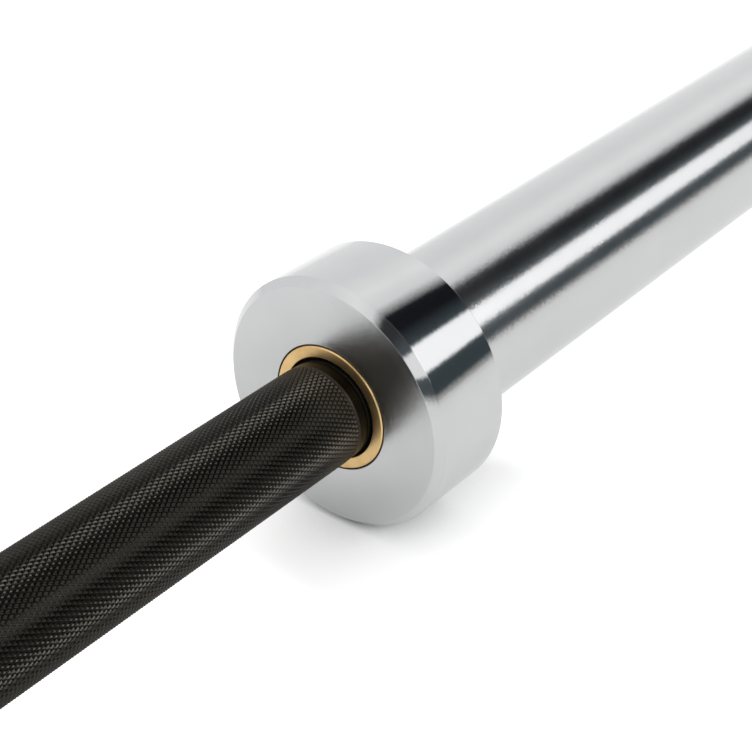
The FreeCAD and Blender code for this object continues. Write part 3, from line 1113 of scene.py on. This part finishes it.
# %% [markdown]
# Along the bar the lamps differ too. The studio is laid out for the right end, so a direction with a
# minus X looks inboard, towards the middle of the bar, and one with a plus X looks outboard. The strip
# lamp is a little skewed and dimmer inboard, and nearly out at its far end. A strong key lamp and a weak
# fill card hang square beside the bar: the round chrome mirrors what is further outboard, while the teeth
# of the knurl face both and glint. A slight haze lifts the black inboard. The camera itself sees white.

# %% Light the studio
WHITE = (1, 1, 1, 1)
INBOARD_TURN = (-0.6, -0.15)
SQUARE_END = (0.38, 0.58)
FAR_END = (0.82, 0.9)
STRIP_SKEW = 4.5
STRIP_INBOARD, STRIP_OUTBOARD, STRIP_FAR_SHARE = 1.2, 1.55, 0.1
KEY_LEVEL = 6.2
KEY_FADE = (143, 160)
KEY_FADE_SHARE = 0.36
FILL_LEVEL = 0.6
HAZE_TURN = (-0.5, -0.3)
HAZE_LEVEL = 0.035


def between(nodes, angle, low, high):
    """A mask for a band of angles with soft edges."""
    return nodes.smooth(angle, low - LAMP_SOFT, low) * nodes.smooth(angle, high, high + LAMP_SOFT, 1, 0)


def light(nodes, level, colour=WHITE):
    """An even light in every direction."""
    return nodes.add("ShaderNodeBackground", inputs={"Color": colour, "Strength": level})


def cover(nodes, mask, under, over):
    """One light in front of another, where the mask is 1."""
    return nodes.add("ShaderNodeMixShader", inputs={0: mask, 1: under, 2: over})


def build_studio():
    world = bpy.data.worlds.new("studio")
    world.use_nodes = True
    nodes = Nodes(world.node_tree)
    towards = nodes.add("ShaderNodeTexCoord", output="Generated")
    along = nodes.add("ShaderNodeSeparateXYZ", inputs={0: towards})
    angle = nodes.math("DEGREES", nodes.math("ARCTAN2", along.output("Z"), along.output("Y")))
    walls = light(nodes, ROOM_LEVEL, nodes.ramp(angle, WALLS))
    haze = light(nodes, nodes.smooth(along, *HAZE_TURN, HAZE_LEVEL, 0))
    room = nodes.add("ShaderNodeAddShader", inputs={0: walls, 1: haze})
    skewed = angle + nodes.math("MINIMUM", along, 0) * STRIP_SKEW
    strip_near = nodes.smooth(along, *INBOARD_TURN, STRIP_INBOARD, STRIP_OUTBOARD)
    strip_level = strip_near * nodes.smooth(along, *FAR_END, 1, STRIP_FAR_SHARE)
    room = cover(nodes, between(nodes, skewed, *STRIP_LAMP), room, light(nodes, strip_level))
    square = nodes.smooth(along, *INBOARD_TURN) * nodes.smooth(along, *SQUARE_END, 1, 0)
    room = cover(nodes, between(nodes, angle, *FILL_CARD) * square, room, light(nodes, FILL_LEVEL))
    key_level = KEY_LEVEL * nodes.smooth(angle, *KEY_FADE, 1, KEY_FADE_SHARE)
    room = cover(nodes, between(nodes, angle, *KEY_LAMP) * square, room, light(nodes, key_level))
    from_camera = nodes.add("ShaderNodeLightPath", output="Is Camera Ray")
    shown = cover(nodes, from_camera, room, light(nodes, 1))
    nodes.add("ShaderNodeOutputWorld", inputs={"Surface": shown})
    return world


bpy.context.scene.world = build_studio()
print("studio lit with", len(bpy.context.scene.world.node_tree.nodes), "nodes")

# %% [markdown]
# ## The camera
#
# The camera stands inboard of the right collar, above and in front of the shaft, and looks down along the
# bar towards the sleeve. A longer lens from further off would flatten the collar, so it stands close.

# %% Set the camera
CAMERA_PLACE = Vector((0.3841, -0.2318, 0.2361))
CAMERA_YAW = math.radians(38.54)
CAMERA_PITCH = math.radians(32.38)
CAMERA_LENS = 75.84
CAMERA_SENSOR = 36
CAMERA_NEAR = 0.01
QUARTER_TURN = math.pi / 2

lens = bpy.data.cameras.new("photo_view")
lens.lens = CAMERA_LENS
lens.sensor_width = CAMERA_SENSOR
lens.clip_start = CAMERA_NEAR
camera = bpy.data.objects.new("photo_view", lens)
yaw = Matrix.Rotation(CAMERA_YAW - QUARTER_TURN, 4, "Z")
pitch = Matrix.Rotation(QUARTER_TURN - CAMERA_PITCH, 4, "X")
camera.matrix_world = Matrix.Translation(CAMERA_PLACE) @ yaw @ pitch
bpy.context.scene.collection.objects.link(camera)
bpy.context.scene.camera = camera
bpy.context.scene.view_settings.view_transform = "Standard"
print("camera at", [round(number, 4) for number in CAMERA_PLACE])
